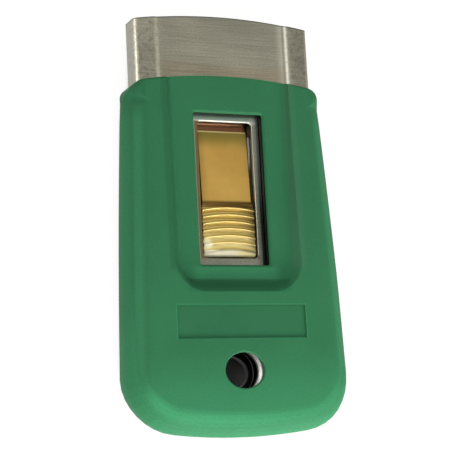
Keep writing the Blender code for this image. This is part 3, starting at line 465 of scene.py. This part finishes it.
# The pad: darker brass, painted shade at right, pale painted highlight at its low end and left
# corner.
on_pad = band(y, *PAD)
colour = blend(times(on_pad, 0.9), colour, PAD_BRASS)
right = times(band(y, *UPPER_PAD), fade(x, 0.0010, 0.0045, 0.0, 0.50))
colour = blend(right, colour, PAD_RIGHT)
corner = times(fade(x, -0.0030, -0.0052, 0.0, 0.95), fade(y, -0.0005, -0.0045))
pad_highlight = most(fade(y, 0.0005, -0.0068, 0.0, 0.80), corner)
colour = blend(pad_highlight, colour, PAD_HIGHLIGHT_TINT)
# Seven ribs: a painted highlight on each thin crest and groove, painted shade on each lower slope.
arched = plus(y, times(x, x, RIB_ARCH))
count = times(minus(PAD_TOP, arched), RIB_COUNT / PAD_LENGTH)


def near_rib(place):
    """How far round its rib a point lies from a chosen place: 0 there and 0.5 on the far side."""
    return size(minus(work_out("FRACT", plus(count, 0.5 - place)), 0.5))


groove_highlight = times(fade(near_rib(GROOVE_PLACE), 0.20, 0.06, 0.0, 0.9), on_pad)
colour = blend(groove_highlight, colour, GROOVE_HIGHLIGHT_TINT)
slope = times(fade(near_rib(SLOPE_PLACE), 0.20, 0.10, 0.0, 0.50), on_pad)
colour = blend(slope, colour, BLACK)
# Painted highlights make the pad's low end pale, yellower towards its right.
low_end = fade(y, -0.0057, -0.0062, 0.0, 0.9)
colour = blend(low_end, colour, END_HIGHLIGHT)
colour = blend(times(low_end, fade(x, 0.0000, 0.0035)), colour, END_YELLOW_HIGHLIGHT)
# A dark line crosses the pad just above its low end.
nick = times(band(arched, *NICK), fade(x, -0.0045, -0.0020, 0.0, 0.75))
colour = blend(nick, colour, NICK_DARK)
line = times(fade(near_rib(CREST_PLACE), 0.10, 0.05, 0.0, 0.9), on_pad)
colour = blend(line, colour, RIB_CREST_HIGHLIGHT_TINT)
# A painted glint lights the pad's lower left; painted highlights are less metallic.
glint = fade(distance(minus(x, BLOB_X), minus(y, BLOB_Y)), 0.0015, 0.0005)
colour = blend(glint, colour, GLINT_TINT)
highlight_share = most(fade(pad_highlight, 0.2, 1.0, 0.0, 0.55), times(glint, 0.95))
set_sockets(shader, Base_Color=colour, Metallic=minus(1.0, highlight_share),
            Roughness=fade(y, 0.0050, 0.0030, 0.36, 0.52),
            Normal=relief(grain["Pits"], 0.1, 0.00003))
dress("thumb_leaf", brass)
dress("leaf_rivet_left", brass)
dress("leaf_rivet_right", brass)


# Table
# A white sheet under the tool. The camera sees it as white, and it keeps the tool's shadow.
# Painted shade darkens it close round the tool and under the hang hole.
REACH = 1.5
SHADOW_REACH = 0.012
SHEET_PLAIN = (0.85, 0.85, 0.85)
SHEET_SEEN = (0.15, 0.15, 0.15)
SHEET_SHADE = (0.12, 0.12, 0.115)
table_mesh = bpy.data.meshes.new("table")
corners = [(-REACH, -REACH, 0), (REACH, -REACH, 0), (REACH, REACH, 0), (-REACH, REACH, 0)]
table_mesh.from_pydata(corners, [], [(0, 1, 2, 3)])
table = bpy.data.objects.new("table", table_mesh)
scene.collection.objects.link(table)
paper, tree, shader = new_material("white_paper", Roughness=0.9, Specular_IOR_Level=0.1)
x, y, _ = axes(tree)
path = add(tree, "ShaderNodeLightPath").outputs
shelter = add(tree, "ShaderNodeAmbientOcclusion", Distance=SHADOW_REACH, samples=16)
open_air = times(fade(shelter.outputs["AO"], 0.05, 0.38), fade(from_hole(x, y), 0.0085, 0.0105))
seen = most(path["Is Camera Ray"], path["Is Glossy Ray"])
sheet = blend(seen, SHEET_PLAIN, SHEET_SEEN)
glow = most(times(open_air, path["Is Camera Ray"]), path["Is Glossy Ray"])
set_sockets(shader, Base_Color=blend(open_air, SHEET_SHADE, sheet),
            Emission_Color=(0.9, 0.9, 0.9, 1), Emission_Strength=glow)
table_mesh.materials.append(paper)


# Light
# A soft studio: an even room, a low lamp and a large sheet from the handle end, and white
# panels at the left, overhead and at the right.
WARM_WHITE = (1, 0.98, 0.94)
world = bpy.data.worlds.new("room")
scene.world = world
world.use_nodes = True
set_sockets(world.node_tree.nodes["Background"], Color=(1.0, 0.985, 0.95, 1), Strength=0.44)


def lamp(name, place, target, width, height, watts):
    """A flat lamp at a place, turned to its target."""
    data = bpy.data.lights.new(name, "AREA")
    data.shape = "RECTANGLE"
    data.size, data.size_y = width, height
    data.energy = watts
    data.color = WARM_WHITE
    obj = bpy.data.objects.new(name, data)
    scene.collection.objects.link(obj)
    obj.location = place
    obj.rotation_euler = (Vector(target) - Vector(place)).to_track_quat("-Z", "Y").to_euler()


lamp("handle_end_lamp", (0.11, -0.32, 0.12), (0, -0.02, 0), 0.40, 0.10, 1.75)
lamp("handle_end_sheet", (0.11, -0.32, 0.28), (0, 0, 0), 0.40, 0.24, 0.45)
lamp("left_panel", (-0.60, 0.15, 0.60), (0, 0, 0), 0.16, 0.6, 2.6)
lamp("ceiling_panel", (-0.07, 0.16, 0.95), (0, 0, 0), 0.20, 0.30, 0.5)
lamp("right_panel", (0.6, 0.15, 0.48), (0, 0, 0), 0.12, 0.5, 0.4)


# Camera
# It stands left of the tool and a little towards the handle, looking down at about 65 degrees.
# The lens is long, about 121 mm for a picture 36 mm wide.
STAND = Vector((-0.131107, -0.056432, 0.307878))
AIM = Vector((-0.001779, -0.000663, 0.008))
ROLL = -0.053
LENS_TO_WIDTH = 1517.322 / 450
data = bpy.data.cameras.new("camera")
camera = bpy.data.objects.new("camera", data)
scene.collection.objects.link(camera)
scene.camera = camera
data.sensor_width = 36.0
data.lens = LENS_TO_WIDTH * data.sensor_width
data.clip_start = 0.01
backward = (STAND - AIM).normalized()
level = Vector((0, 1, 0)).cross(backward).normalized()
upright = backward.cross(level)
right = math.cos(ROLL) * level + math.sin(ROLL) * upright
up = -math.sin(ROLL) * level + math.cos(ROLL) * upright
camera.matrix_world = Matrix([*zip(right, up, backward, STAND), (0, 0, 0, 1)])
